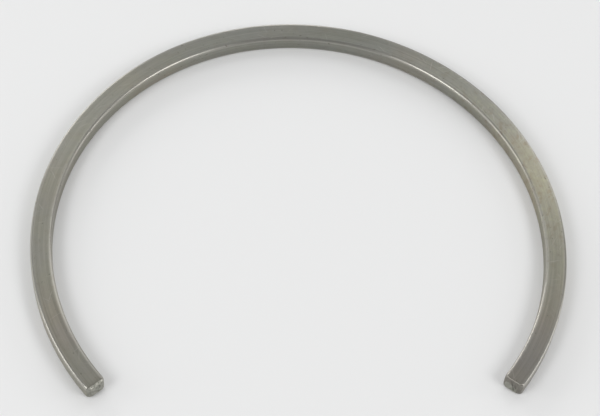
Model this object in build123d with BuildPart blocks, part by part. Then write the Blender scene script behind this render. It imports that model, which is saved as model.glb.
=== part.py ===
"""Locating ring for a bearing housing: one flat steel bar bent on edge into an open ring.

The ring lies flat on one side face. Its axis is Z, that face is at Z = 0, and its opening faces -Y.
"""

from build123d import *
import os

# Driving dimensions, in millimetres and degrees.
outside_diameter = 150.0  # the rim, which sits in the housing's bore beside the bearing
radial_height = 6.0  # the bar's size across the ring, from the rim to the inner edge
width = 5.0  # the bar's size along the axis, which is the end float that the ring takes up
opening_angle = 101.0  # the part of the circle left open between the two cropped ends
edge_rounding = 0.6  # drawn rounding along the bar's long edges, carried round the ends by tumbling
rim_corner_radius = 1.5  # tumbled corner of each end at the rim, seen along the axis
inner_corner_radius = 1.2  # tumbled corner of each end at the inner edge, seen along the axis

# Radii and angles that follow from them.
rim_radius = outside_diameter / 2
inner_radius = rim_radius - radial_height
ring_angle = 360.0 - opening_angle
first_end_angle = -90.0 + opening_angle / 2

os.makedirs("parts", exist_ok=True)

with BuildPart() as locating_ring:
    # The bar is bent on edge about the ring's axis, and its two ends are cropped square to it.
    with BuildSketch(Plane.XY) as ring_outline:
        with BuildLine() as cropped_outline:
            rim = CenterArc((0, 0), rim_radius, first_end_angle, ring_angle)
            inner_edge = CenterArc((0, 0), inner_radius, first_end_angle, ring_angle)
            Line(rim @ 0, inner_edge @ 0)
            Line(rim @ 1, inner_edge @ 1)
        make_face()

        # Tumbling rounds the corners of both ends.
        inner_corners = ring_outline.vertices().group_by(SortBy.DISTANCE)[0]
        fillet(inner_corners, inner_corner_radius)
        rim_corners = ring_outline.vertices().group_by(SortBy.DISTANCE)[-1]
        fillet(rim_corners, rim_corner_radius)
    extrude(amount=width)

    # The edges of both side faces are rounded, as on drawn bar.
    side_faces = locating_ring.faces().filter_by(Plane.XY)
    fillet(side_faces.edges(), edge_rounding)

locating_ring.part.label = "locating_ring"
export_step(locating_ring.part, "parts/locating_ring.step")
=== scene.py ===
import math
import bpy
from mathutils import Matrix, Vector


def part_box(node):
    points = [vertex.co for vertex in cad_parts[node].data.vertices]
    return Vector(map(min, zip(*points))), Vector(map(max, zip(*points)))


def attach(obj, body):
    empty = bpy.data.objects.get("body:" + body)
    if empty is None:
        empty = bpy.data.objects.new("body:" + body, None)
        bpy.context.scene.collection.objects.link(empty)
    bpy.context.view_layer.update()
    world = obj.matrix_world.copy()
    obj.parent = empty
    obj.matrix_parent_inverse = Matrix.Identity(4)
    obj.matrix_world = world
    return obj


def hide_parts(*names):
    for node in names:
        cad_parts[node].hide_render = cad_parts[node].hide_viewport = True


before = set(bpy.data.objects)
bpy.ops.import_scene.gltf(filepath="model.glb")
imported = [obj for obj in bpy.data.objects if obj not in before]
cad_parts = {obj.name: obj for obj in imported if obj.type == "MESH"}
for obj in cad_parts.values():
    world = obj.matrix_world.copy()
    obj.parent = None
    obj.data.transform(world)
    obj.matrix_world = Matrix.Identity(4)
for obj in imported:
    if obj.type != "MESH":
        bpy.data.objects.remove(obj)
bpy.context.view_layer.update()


# ---- The bar, bent on edge into an open ring ----
# One length of flat drawn steel bar with rounded long edges, bent cold on edge about the ring's
# axis. Bending upsets the metal at the inner edge, so the side faces fall away there more gently
# than they do at the rim.
hair = 0.00001
lowest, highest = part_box("locating_ring")
rim_radius = highest.x - hair
bar_width = highest.z - lowest.z
radial_height = 0.006
opening_angle = math.radians(101.0)
inner_rounding = 0.00125
rim_rounding = 0.0010
inner_fullness = 0.64
rim_fullness = 0.60
bar_centre_radius = rim_radius - radial_height / 2
middle_height = bar_width / 2
right_corner_depth = 0.0013
left_corner_depth = 0.0017
bar_start = -math.pi / 2 + opening_angle / 2 + right_corner_depth / bar_centre_radius
bar_end = 1.5 * math.pi - opening_angle / 2 - left_corner_depth / bar_centre_radius
steps_round_ring = 280


def out_from_axis(angle):
    """The direction straight out from the ring's axis at that angle."""
    return Vector((math.cos(angle), math.sin(angle), 0))


def along_bar(angle):
    """The direction along the bar at that angle, anticlockwise seen from above."""
    return Vector((-math.sin(angle), math.cos(angle), 0))


def pick(piece, wanted):
    """Leaves the piece in edit mode with only the vertices selected whose place is wanted."""
    bpy.ops.object.mode_set(mode="EDIT")
    bpy.ops.mesh.select_mode(type="VERT")
    bpy.ops.mesh.select_all(action="DESELECT")
    bpy.ops.object.mode_set(mode="OBJECT")
    for vertex in piece.data.vertices:
        vertex.select = wanted(vertex.co)
    bpy.ops.object.mode_set(mode="EDIT")


bpy.ops.object.select_all(action="DESELECT")
bar_start_centre = out_from_axis(bar_start) * bar_centre_radius
bpy.ops.mesh.primitive_plane_add(size=1, rotation=(math.pi / 2, 0, bar_start))
ring = bpy.context.object
ring.name = "bent_bar_ring"
ring.location = bar_start_centre + Vector((0, 0, middle_height))
ring.scale = (radial_height, bar_width, 1)
bpy.ops.object.transform_apply(location=True, rotation=True, scale=True)


def reach(place):
    """How far a place is from the ring's axis."""
    return math.hypot(place.x, place.y)


pick(ring, lambda place: reach(place) < bar_centre_radius)
bpy.ops.mesh.bevel(offset=inner_rounding, segments=10, profile=inner_fullness, affect="VERTICES")
pick(ring, lambda place: reach(place) > rim_radius - hair)
bpy.ops.mesh.bevel(offset=rim_rounding, segments=8, profile=rim_fullness, affect="VERTICES")

# The flats of the section are divided, so that the side faces can take the bar's unevenness.
for at_flat in (
    lambda place: place.z > bar_width - hair,
    lambda place: place.z < hair,
):
    pick(ring, at_flat)
    bpy.ops.mesh.subdivide(number_cuts=8)
for at_flat in (
    lambda place: reach(place) > rim_radius - hair,
    lambda place: reach(place) < rim_radius - radial_height + hair,
):
    pick(ring, at_flat)
    bpy.ops.mesh.subdivide(number_cuts=5)
bpy.ops.mesh.select_all(action="SELECT")
bpy.ops.mesh.delete(type="ONLY_FACE")
bpy.ops.mesh.select_all(action="SELECT")
bpy.ops.mesh.spin(steps=steps_round_ring, angle=bar_start - bar_end, center=(0, 0, 0), axis=(0, 0, 1))


def place_node(tree, kind, **settings):
    """Adds a node of that kind, with its settings and the values of its named sockets."""
    new_node = tree.nodes.new("ShaderNode" + kind)
    for name, value in settings.items():
        if hasattr(new_node, name):
            setattr(new_node, name, value)
        else:
            new_node.inputs[name.replace("_", " ")].default_value = value
    return new_node


def figure(tree, operation, first, second=0.0, third=0.0):
    """Adds a Math node on up to three values or sockets and returns its result."""
    sum_node = tree.nodes.new("ShaderNodeMath")
    sum_node.operation = operation
    for socket, value in zip(sum_node.inputs, (first, second, third)):
        if isinstance(value, bpy.types.NodeSocket):
            tree.links.new(value, socket)
        else:
            socket.default_value = value
    return sum_node.outputs[0]


def grade(tree, value, low, high, out_low=0.0, out_high=1.0):
    """Spreads a value smoothly from low..high to out_low..out_high."""
    spread = tree.nodes.new("ShaderNodeMapRange")
    spread.interpolation_type = "SMOOTHSTEP"
    tree.links.new(value, spread.inputs[0])
    for socket, number in zip(spread.inputs[1:5], (low, high, out_low, out_high)):
        socket.default_value = number
    return spread.outputs[0]


def stretched_noise(tree, place, across, along, detail=2.0, roughness=0.5, turn=0.0, shift=0.0):
    """Noise at so many grains a metre across the bar and along it. place is the unrolled bar."""
    mapping = tree.nodes.new("ShaderNodeMapping")
    mapping.vector_type = "TEXTURE"
    mapping.inputs["Location"].default_value = (shift, shift, shift)
    mapping.inputs["Rotation"].default_value = (0, 0, turn)
    mapping.inputs["Scale"].default_value = (1 / across, 1 / along, 1 / across)
    noise = tree.nodes.new("ShaderNodeTexNoise")
    noise.inputs["Scale"].default_value = 1.0
    noise.inputs["Detail"].default_value = detail
    noise.inputs["Roughness"].default_value = roughness
    tree.links.new(place, mapping.inputs["Vector"])
    tree.links.new(mapping.outputs["Vector"], noise.inputs["Vector"])
    return noise.outputs["Fac"]


def blend_colour(tree, amount, first, second, way="MIX"):
    """Mixes two colours or colour sockets by that amount."""
    mixer = tree.nodes.new("ShaderNodeMix")
    mixer.data_type = "RGBA"
    mixer.blend_type = way
    sockets = (mixer.inputs[0], mixer.inputs[6], mixer.inputs[7])
    for socket, value in zip(sockets, (amount, first, second)):
        if isinstance(value, bpy.types.NodeSocket):
            tree.links.new(value, socket)
        else:
            socket.default_value = value
    return mixer.outputs[2]


# Every finish on the ring is laid out on the bar as if it were unrolled: out from the axis, along
# the bar, and up. The seam of the angle falls in the ring's opening.
unrolled = bpy.data.node_groups.new("unrolled bar", "ShaderNodeTree")
unrolled.interface.new_socket("Object Place", in_out="INPUT", socket_type="NodeSocketVector")
unrolled.interface.new_socket("Bar Place", in_out="OUTPUT", socket_type="NodeSocketVector")
unrolled.interface.new_socket("Edge", in_out="OUTPUT", socket_type="NodeSocketFloat")
group_in = unrolled.nodes.new("NodeGroupInput")
group_out = unrolled.nodes.new("NodeGroupOutput")
split = unrolled.nodes.new("ShaderNodeSeparateXYZ")
unrolled.links.new(group_in.outputs[0], split.inputs[0])
across_squared = figure(unrolled, "MULTIPLY", split.outputs[0], split.outputs[0])
reach_squared = figure(unrolled, "MULTIPLY_ADD", split.outputs[1], split.outputs[1], across_squared)
reach_out = figure(unrolled, "SQRT", reach_squared)
angle_round = figure(unrolled, "ARCTAN2", split.outputs[0], split.outputs[1])
length_along = figure(unrolled, "MULTIPLY", angle_round, bar_centre_radius)
join = unrolled.nodes.new("ShaderNodeCombineXYZ")
unrolled.links.new(reach_out, join.inputs[0])
unrolled.links.new(length_along, join.inputs[1])
unrolled.links.new(split.outputs[2], join.inputs[2])
unrolled.links.new(join.outputs[0], group_out.inputs[0])
# Edge is 1 on the four rounded long edges and 0 on the flats between them.
full_edge = 0.0003
off_centre = figure(unrolled, "ABSOLUTE", figure(unrolled, "SUBTRACT", reach_out, bar_centre_radius))
off_middle = figure(unrolled, "ABSOLUTE", figure(unrolled, "SUBTRACT", split.outputs[2], middle_height))
near_side = grade(unrolled, off_centre, radial_height / 2 - inner_rounding, radial_height / 2 - full_edge)
near_face = grade(unrolled, off_middle, middle_height - inner_rounding, middle_height - full_edge)
unrolled.links.new(figure(unrolled, "MULTIPLY", near_side, near_face), group_out.inputs[1])


def lay_out(tree):
    """Adds the object's place and the unrolled bar, and returns place, bar place and edge."""
    object_place = place_node(tree, "TexCoord").outputs["Object"]
    layout = tree.nodes.new("ShaderNodeGroup")
    layout.node_tree = unrolled
    tree.links.new(object_place, layout.inputs[0])
    bar_place, edge = layout.outputs
    return object_place, bar_place, edge


steel = bpy.data.materials.new("drawn steel")
steel.use_nodes = True
tree = steel.node_tree
shader = tree.nodes["Principled BSDF"]
object_place, bar_place, edge = lay_out(tree)

# Drawing through the die leaves fine lines along the bar, with a few broader tracks among them.
fine_lines = stretched_noise(tree, bar_place, 5200, 40, detail=3, roughness=0.6)
broad_tracks = stretched_noise(tree, bar_place, 1500, 18, detail=2, shift=0.31)
lines = figure(tree, "MULTIPLY_ADD", broad_tracks, 0.4, figure(tree, "MULTIPLY", fine_lines, 0.6))

# Oil and a thin oxide tint the bare metal. The tint goes from brown at the right end through a
# rubbed golden stretch to grey at the back and olive on the left, and is blotched all the way.
tint_patches = stretched_noise(tree, bar_place, 95, 62, detail=3, roughness=0.55, shift=0.7)
warm_patches = stretched_noise(tree, bar_place, 70, 40, detail=2, shift=1.9)
split_place = place_node(tree, "SeparateXYZ")
tree.links.new(bar_place, split_place.inputs[0])
bar_length = (bar_end - bar_start) * bar_centre_radius
wander = figure(tree, "MULTIPLY_ADD", tint_patches, 0.016, split_place.outputs[1])
share_along = grade(tree, wander, bar_length / 2 + 0.008, -bar_length / 2 + 0.008)
share_along.node.interpolation_type = "LINEAR"
tint = place_node(tree, "ValToRGB")
tree.links.new(share_along, tint.inputs[0])
tint.color_ramp.interpolation = "EASE"
tint.color_ramp.elements[0].color = (0.238, 0.226, 0.210, 1)
tint.color_ramp.elements[1].color = (0.252, 0.246, 0.218, 1)
for share, tint_colour in (
    (0.12, (0.268, 0.262, 0.222, 1)),
    (0.21, (0.330, 0.318, 0.256, 1)),
    (0.33, (0.258, 0.258, 0.230, 1)),
    (0.48, (0.258, 0.262, 0.240, 1)),
    (0.72, (0.284, 0.281, 0.246, 1)),
    (0.84, (0.262, 0.258, 0.226, 1)),
):
    stop = tint.color_ramp.elements.new(share)
    stop.color = tint_colour
olive = grade(tree, tint_patches, 0.38, 0.66)
warm = grade(tree, warm_patches, 0.45, 0.68)
colour = blend_colour(tree, olive, tint.outputs[0], (1.0, 1.0, 0.955, 1), way="MULTIPLY")
colour = blend_colour(tree, warm, colour, (1.04, 1.0, 0.99, 1), way="MULTIPLY")
colour = blend_colour(tree, figure(tree, "MULTIPLY", edge, 0.65), colour, (0.40, 0.39, 0.36, 1))
line_shade = grade(tree, lines, 0.32, 0.68, 0.89, 1.10)
darkened = place_node(tree, "CombineColor")
for socket in darkened.inputs[:3]:
    tree.links.new(line_shade, socket)
colour = blend_colour(tree, 1.0, colour, darkened.outputs[0], way="MULTIPLY")

# The inner face is painted a little paler, as a painted reflection of the pale floor in front of it.
inner_radius = rim_radius - radial_height
inner_face_painted_light = grade(tree, split_place.outputs[0], inner_radius + 0.0006, inner_radius + 0.0001)
colour = blend_colour(tree, inner_face_painted_light, colour, (1.13, 1.12, 1.11, 1), way="MULTIPLY")

# The rim is painted brighter than the side faces, as a painted reflection of the pale floor beside it.
rim_painted_light = grade(tree, split_place.outputs[0], rim_radius - 0.0005, rim_radius - 0.0001)
colour = blend_colour(tree, rim_painted_light, colour, (1.34, 1.34, 1.33, 1), way="MULTIPLY")

# The golden stretch is mottled and scored by handling, and the rest much less so.
mottle = stretched_noise(tree, bar_place, 620, 430, detail=3, roughness=0.6, turn=0.5, shift=4.3)
golden_start = grade(tree, share_along, 0.08, 0.20)
golden_end = grade(tree, share_along, 0.42, 0.26)
handled = figure(tree, "MULTIPLY", golden_start, golden_end)
handled = figure(tree, "MULTIPLY_ADD", handled, 0.75, 0.25)
brown_spots = figure(tree, "MULTIPLY", grade(tree, mottle, 0.52, 0.66), handled)
pale_spots = figure(tree, "MULTIPLY", grade(tree, mottle, 0.48, 0.34), handled)
colour = blend_colour(tree, brown_spots, colour, (0.90, 0.84, 0.80, 1), way="MULTIPLY")
colour = blend_colour(tree, pale_spots, colour, (1.10, 1.11, 1.04, 1), way="MULTIPLY")

# Handling leaves sparse bright scratches at several slants, and the drawing left small pits.
scratches = None
for slant, shift in ((0.5, 0.2), (-0.75, 1.1), (1.25, 2.3)):
    scratch_noise = stretched_noise(tree, bar_place, 3000, 120, detail=1, turn=slant, shift=shift)
    scratch = grade(tree, scratch_noise, 0.70, 0.76)
    scratches = scratch if scratches is None else figure(tree, "MAXIMUM", scratches, scratch)
scratch_strength = figure(tree, "MULTIPLY", scratches, figure(tree, "MULTIPLY_ADD", handled, 0.4, 0.25))
colour = blend_colour(tree, scratch_strength, colour, (0.44, 0.43, 0.39, 1))
pit_noise = stretched_noise(tree, bar_place, 1400, 900, detail=1, shift=3.1)
pits = grade(tree, pit_noise, 0.70, 0.78)
colour = blend_colour(tree, figure(tree, "MULTIPLY", pits, 0.6), colour, (0.12, 0.11, 0.09, 1))
tree.links.new(colour, shader.inputs["Base Color"])

gloss = grade(tree, lines, 0.3, 0.7, 0.42, 0.34)
gloss = figure(tree, "MULTIPLY_ADD", edge, -0.08, gloss)
gloss = figure(tree, "MULTIPLY_ADD", pits, 0.15, gloss)
tree.links.new(gloss, shader.inputs["Roughness"])
shader.inputs["Metallic"].default_value = 1

# The lines run round the ring, so a reflection smears across the bar and stays short along it.
upright = place_node(tree, "VectorMath", operation="CROSS_PRODUCT")
upright.inputs[0].default_value = (0, 0, 1)
tree.links.new(object_place, upright.inputs[1])
round_ring = place_node(tree, "VectorMath", operation="NORMALIZE")
tree.links.new(upright.outputs[0], round_ring.inputs[0])
line_way = place_node(
    tree, "VectorTransform", vector_type="VECTOR", convert_from="OBJECT", convert_to="WORLD"
)
tree.links.new(round_ring.outputs[0], line_way.inputs[0])
tree.links.new(line_way.outputs[0], shader.inputs["Tangent"])
shader.inputs["Anisotropic"].default_value = 0.75
shader.inputs["Anisotropic Rotation"].default_value = 0.25

surface = figure(tree, "MULTIPLY_ADD", scratches, -0.25, lines)
surface = figure(tree, "MULTIPLY_ADD", pits, -0.6, surface)
relief = place_node(tree, "Bump", Strength=0.5, Distance=0.00002)
tree.links.new(surface, relief.inputs["Height"])
tree.links.new(relief.outputs[0], shader.inputs["Normal"])
ring.data.materials.append(steel)


# ---- The two cropped ends ----
# The bar was cut to length in a shear: each end is a rough face, burnished where the blade entered
# at the inner edge and torn towards the rim. Tumbling rounded its corners afterwards.
steps_round_corner = 8
set_back = 0.1


def crop_end(end_angle, way, depth, rim_corner, inner_corner, edge_fall, edge_squareness, lean):
    """Closes the bar's open end, extruding towards way round the corners, and leans the cut."""
    outward = out_from_axis(end_angle)
    along = along_bar(end_angle) * way
    axes = Matrix((outward, along, Vector((0, 0, 1)))).transposed()
    centre = outward * bar_centre_radius + Vector((0, 0, middle_height))
    # The corners shrink the section about the point that shares the height between them.
    share = inner_corner / (inner_corner + rim_corner)
    still_point = centre + outward * radial_height * (share - 0.5)
    pick(ring, lambda place: abs((place - centre).dot(along)) < hair and place.dot(outward) > 0)
    height, width, reached = radial_height, bar_width, 0.0
    for step in range(1, steps_round_corner + 1):
        turn = math.pi / 2 * step / steps_round_corner
        drop = 1 - math.cos(turn)
        new_height = radial_height - (rim_corner + inner_corner) * drop
        new_width = bar_width - 2 * edge_fall * drop**edge_squareness
        new_reached = depth * math.sin(turn)
        move = along * (new_reached - reached)
        bpy.ops.mesh.extrude_region_move(TRANSFORM_OT_translate={"value": move})
        bpy.ops.transform.resize(
            value=(new_height / height, 1, new_width / width),
            orient_type="GLOBAL",
            orient_matrix=axes,
            orient_matrix_type="GLOBAL",
            center_override=still_point + along * new_reached,
        )
        height, width, reached = new_height, new_width, new_reached
    bpy.ops.mesh.fill_grid(span=10)
    bpy.ops.mesh.subdivide(number_cuts=2)
    bpy.ops.object.mode_set(mode="OBJECT")
    # The shear's blade was a little askew, so a cut can lean, with its lower edge further out. The
    # set back share of the lean keeps that lower edge inside the bar's full length.
    for vertex in ring.data.vertices:
        offset = vertex.co - centre
        past_start = offset.dot(along)
        if past_start > hair and vertex.co.dot(outward) > 0:
            vertex.co -= along * lean * past_start / depth * (offset.z / bar_width + set_back)
    return outward, along, centre


def press_in(end, face_start, depth, wanted):
    """Pushes part of an end's face in by that depth. wanted takes millimetres across and up it."""
    outward, along, centre = end

    def on_face(place):
        offset = place - centre
        if offset.dot(along) < face_start or place.dot(outward) < 0:
            return False
        return wanted(offset.dot(outward) * 1000, offset.z * 1000)

    pick(ring, on_face)
    bpy.ops.transform.translate(value=along * -depth)
    bpy.ops.object.mode_set(mode="OBJECT")


right_end = crop_end(
    bar_start,
    way=-1,
    depth=right_corner_depth,
    rim_corner=0.0014,
    inner_corner=0.0011,
    edge_fall=0.0005,
    edge_squareness=1.7,
    lean=0.0006,
)
left_end = crop_end(
    bar_end,
    way=1,
    depth=left_corner_depth,
    rim_corner=0.0018,
    inner_corner=0.0018,
    edge_fall=0.0013,
    edge_squareness=1.0,
    lean=0.0,
)

bpy.ops.object.mode_set(mode="EDIT")
bpy.ops.mesh.select_all(action="SELECT")
bpy.ops.mesh.remove_doubles(threshold=0.000001)
bpy.ops.mesh.normals_make_consistent(inside=False)
bpy.ops.object.mode_set(mode="OBJECT")

# On the right end the torn part lies a little lower than the burnished part, along a slanting ridge,
# and two cracks run down it near the rim. On the left end only a nick by the inner corner shows.
right_face_start = right_corner_depth * 0.75
left_face_start = left_corner_depth * 0.9
for end, face_start, pressed, wanted in (
    (right_end, right_face_start, 0.00012, lambda across, up: across > -0.5 + 0.45 * (1.2 - up)),
    (
        right_end,
        right_face_start,
        0.00012,
        lambda across, up: abs(across - 0.9 + 0.25 * up) < 0.12 and up > -0.6,
    ),
    (
        right_end,
        right_face_start,
        0.00015,
        lambda across, up: abs(across - 1.75 - 0.15 * up) < 0.14 and up > -1.2,
    ),
    (left_end, left_face_start, 0.0001, lambda across, up: across < -1.1 and up > 0.2),
):
    press_in(end, face_start, pressed, wanted)

# The torn metal is uneven all over the cut, and fades out before it reaches the bar's sides.
torn = bpy.data.textures.new("torn metal", "CLOUDS")
torn.noise_scale = 0.0007
torn.noise_depth = 3
for name, end, corner_depth, roughest in (
    ("right_cut", right_end, right_corner_depth, 0.00020),
    ("left_cut", left_end, left_corner_depth, 0.00014),
):
    outward, along, centre = end
    ring.vertex_groups.new(name=name)
    for start, weight in ((0.45, 0.35), (0.75, 0.7), (0.95, 1.0)):
        from_start = start * corner_depth
        pick(ring, lambda place: (place - centre).dot(along) > from_start and place.dot(outward) > 0)
        bpy.context.scene.tool_settings.vertex_group_weight = weight
        bpy.ops.object.vertex_group_assign()
    bpy.ops.object.mode_set(mode="OBJECT")
    bpy.ops.object.modifier_add(type="DISPLACE")
    tearing = ring.modifiers[-1]
    tearing.texture = torn
    tearing.texture_coords = "LOCAL"
    tearing.vertex_group = name
    tearing.mid_level = 1.0
    tearing.strength = roughest
    bpy.ops.object.modifier_apply(modifier=tearing.name)

# The cut metal is duller than the drawn sides, and scaled with small grey facets.
cut_steel = bpy.data.materials.new("cropped steel")
cut_steel.use_nodes = True
tree = cut_steel.node_tree
shader = tree.nodes["Principled BSDF"]
bar_place, edge = lay_out(tree)[1:]
facets = stretched_noise(tree, bar_place, 1300, 1300, detail=3, roughness=0.6)
grains = stretched_noise(tree, bar_place, 5200, 5200, detail=2, shift=0.9)
scaly = figure(tree, "MULTIPLY_ADD", grains, 0.35, figure(tree, "MULTIPLY", facets, 0.65))
dark_facets = (0.200, 0.199, 0.172, 1)
pale_facets = (0.420, 0.416, 0.368, 1)
colour = blend_colour(tree, grade(tree, scaly, 0.36, 0.60), dark_facets, pale_facets)
split_place = place_node(tree, "SeparateXYZ")
tree.links.new(bar_place, split_place.inputs[0])
slanting = figure(tree, "MULTIPLY_ADD", split_place.outputs[2], 0.4, split_place.outputs[0])
burnished = grade(tree, slanting, bar_centre_radius + 0.0006, bar_centre_radius - 0.0002)
colour = blend_colour(tree, figure(tree, "MULTIPLY", burnished, 0.6), colour, (0.385, 0.382, 0.340, 1))
colour = blend_colour(tree, figure(tree, "MULTIPLY", edge, 0.6), colour, (0.40, 0.39, 0.355, 1))

# On the right end a highlight is painted as a bright colour along the arris at the top and bottom of the
# cut, and the two cracks are painted dark.
above_middle = figure(tree, "SUBTRACT", split_place.outputs[2], middle_height)
off_middle = figure(tree, "ABSOLUTE", above_middle)
arris_painted_highlight = grade(tree, off_middle, middle_height - 0.0007, middle_height - 0.0003)
right_side = figure(tree, "GREATER_THAN", split_place.outputs[1], 0.0)
arris_painted_highlight = figure(tree, "MULTIPLY", arris_painted_highlight, right_side)
colour = blend_colour(tree, arris_painted_highlight, colour, (0.62, 0.61, 0.56, 1))
from_centre = figure(tree, "SUBTRACT", split_place.outputs[0], bar_centre_radius)
# Each crack is painted dark along its line, fading out towards its lower end.
for crack_at, crack_slant, crack_end in ((0.0009, 0.25, -0.0006), (0.00175, -0.15, -0.0012)):
    from_crack = figure(tree, "MULTIPLY_ADD", above_middle, crack_slant, from_centre)
    from_crack = figure(tree, "ABSOLUTE", figure(tree, "SUBTRACT", from_crack, crack_at))
    crack = grade(tree, from_crack, 0.00022, 0.00010)
    crack = figure(tree, "MULTIPLY", crack, grade(tree, above_middle, crack_end, crack_end + 0.0003))
    crack = figure(tree, "MULTIPLY", crack, right_side)
    colour = blend_colour(tree, figure(tree, "MULTIPLY", crack, 0.85), colour, (0.07, 0.065, 0.055, 1))
tree.links.new(colour, shader.inputs["Base Color"])
tree.links.new(grade(tree, scaly, 0.3, 0.7, 0.56, 0.42), shader.inputs["Roughness"])
shader.inputs["Metallic"].default_value = 1
relief = place_node(tree, "Bump", Strength=0.7, Distance=0.00010)
tree.links.new(scaly, relief.inputs["Height"])
tree.links.new(relief.outputs[0], shader.inputs["Normal"])
ring.data.materials.append(cut_steel)
# The cropped finish lies on the part of each cut that stands furthest out.
for (outward, along, centre), cut_start in (
    (right_end, right_corner_depth * 0.85),
    (left_end, left_corner_depth * 0.30),
):
    pick(ring, lambda place: (place - centre).dot(along) > cut_start and place.dot(outward) > 0)
    ring.active_material_index = 1
    bpy.ops.object.material_slot_assign()
    bpy.ops.object.mode_set(mode="OBJECT")

# Drawing and bending leave the bar itself very slightly uneven, always inside its full size.
uneven = bpy.data.textures.new("drawn bar", "CLOUDS")
uneven.noise_scale = 0.006
uneven.noise_depth = 1
bpy.ops.object.modifier_add(type="DISPLACE")
unevenness = ring.modifiers[-1]
unevenness.texture = uneven
unevenness.texture_coords = "LOCAL"
unevenness.mid_level = 1.0
unevenness.strength = 0.00003
bpy.ops.object.modifier_apply(modifier=unevenness.name)
bpy.ops.object.shade_smooth_by_angle(angle=math.radians(35))
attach(ring, "root")
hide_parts("locating_ring")


# ---- The floor, the light and the camera ----
# The ring lies on a round sheet of pale paper in a pale room. Soft boxes stand all round it, the
# strongest at the front, and the camera looks down at it from the front.
floor_radius = 0.95
room_light = 0.40
room_seen = 0.80
bpy.ops.object.select_all(action="DESELECT")
bpy.ops.mesh.primitive_circle_add(vertices=96, radius=floor_radius, fill_type="NGON")
floor = bpy.context.object
floor.name = "floor"
paper = bpy.data.materials.new("pale paper")
paper.use_nodes = True
paper_shader = paper.node_tree.nodes["Principled BSDF"]
paper_shader.inputs["Base Color"].default_value = (0.775, 0.778, 0.778, 1)
paper_shader.inputs["Roughness"].default_value = 0.9
floor.data.materials.append(paper)

world = bpy.data.worlds.new("pale room")
bpy.context.scene.world = world
world.use_nodes = True
sky = world.node_tree
room = sky.nodes["Background"]
room.inputs["Color"].default_value = (1, 1, 1, 1)
seen = place_node(sky, "LightPath")
background = place_node(sky, "Mix", data_type="FLOAT")
sky.links.new(seen.outputs["Is Camera Ray"], background.inputs[0])
background.inputs[2].default_value = room_light
background.inputs[3].default_value = room_seen
sky.links.new(background.outputs[0], room.inputs["Strength"])

lamp_distance = 1.0


def soft_box(name, side_angle, height_angle, size, brightness):
    """A square soft box at that angle round the ring and above the floor, facing the ring."""
    way = Vector((
        math.cos(height_angle) * math.cos(side_angle),
        math.cos(height_angle) * math.sin(side_angle),
        math.sin(height_angle),
    ))
    bpy.ops.object.light_add(type="AREA", location=way * lamp_distance)
    box = bpy.context.object
    box.name = name
    box.rotation_euler = way.to_track_quat("Z", "Y").to_euler()
    box.data.shape = "SQUARE"
    box.data.size = size
    box.data.energy = brightness * math.pi * size**2


# Broad lights stand at the front left and front right, low down on both sides, and at the back.
# The three smaller ones behind the ring draw out its inner edge.
for name, side_angle, height_angle, size, brightness in (
    ("front_left_light", -150, 45, 0.42, 5.2),
    ("front_right_light", -30, 45, 0.42, 5.0),
    ("low_left_light", -180, 18, 0.42, 2.5),
    ("low_right_light", 0, 18, 0.42, 2.0),
    ("low_back_left_light", 120, 18, 0.42, 3.2),
    ("back_left_light", 150, 18, 0.42, 1.0),
    ("back_right_light", 60, 45, 0.42, 1.6),
    ("low_back_light", 90, 18, 0.30, 3.5),
    ("low_back_right_light", 45, 18, 0.30, 1.4),
    ("high_back_light", 105, 55, 0.30, 1.2),
):
    soft_box(name, math.radians(side_angle), math.radians(height_angle), size, brightness)

camera_distance = 0.5329
camera_height_angle = math.radians(57.88)
camera_side_angle = math.radians(-97.35)
camera_roll = math.radians(6.08)
aim = Vector((0.00066, 0.01263, 0))
to_camera = Vector((
    math.cos(camera_height_angle) * math.cos(camera_side_angle),
    math.cos(camera_height_angle) * math.sin(camera_side_angle),
    math.sin(camera_height_angle),
))
bpy.ops.object.camera_add(location=aim + to_camera * camera_distance)
camera = bpy.context.object
level = (-to_camera).to_track_quat("-Z", "Y").to_matrix()
camera.rotation_euler = (level @ Matrix.Rotation(camera_roll, 3, "Z")).to_euler()
camera.data.sensor_width = 36
camera.data.lens = 112.1
bpy.context.scene.camera = camera
bpy.context.scene.view_settings.view_transform = "Standard"
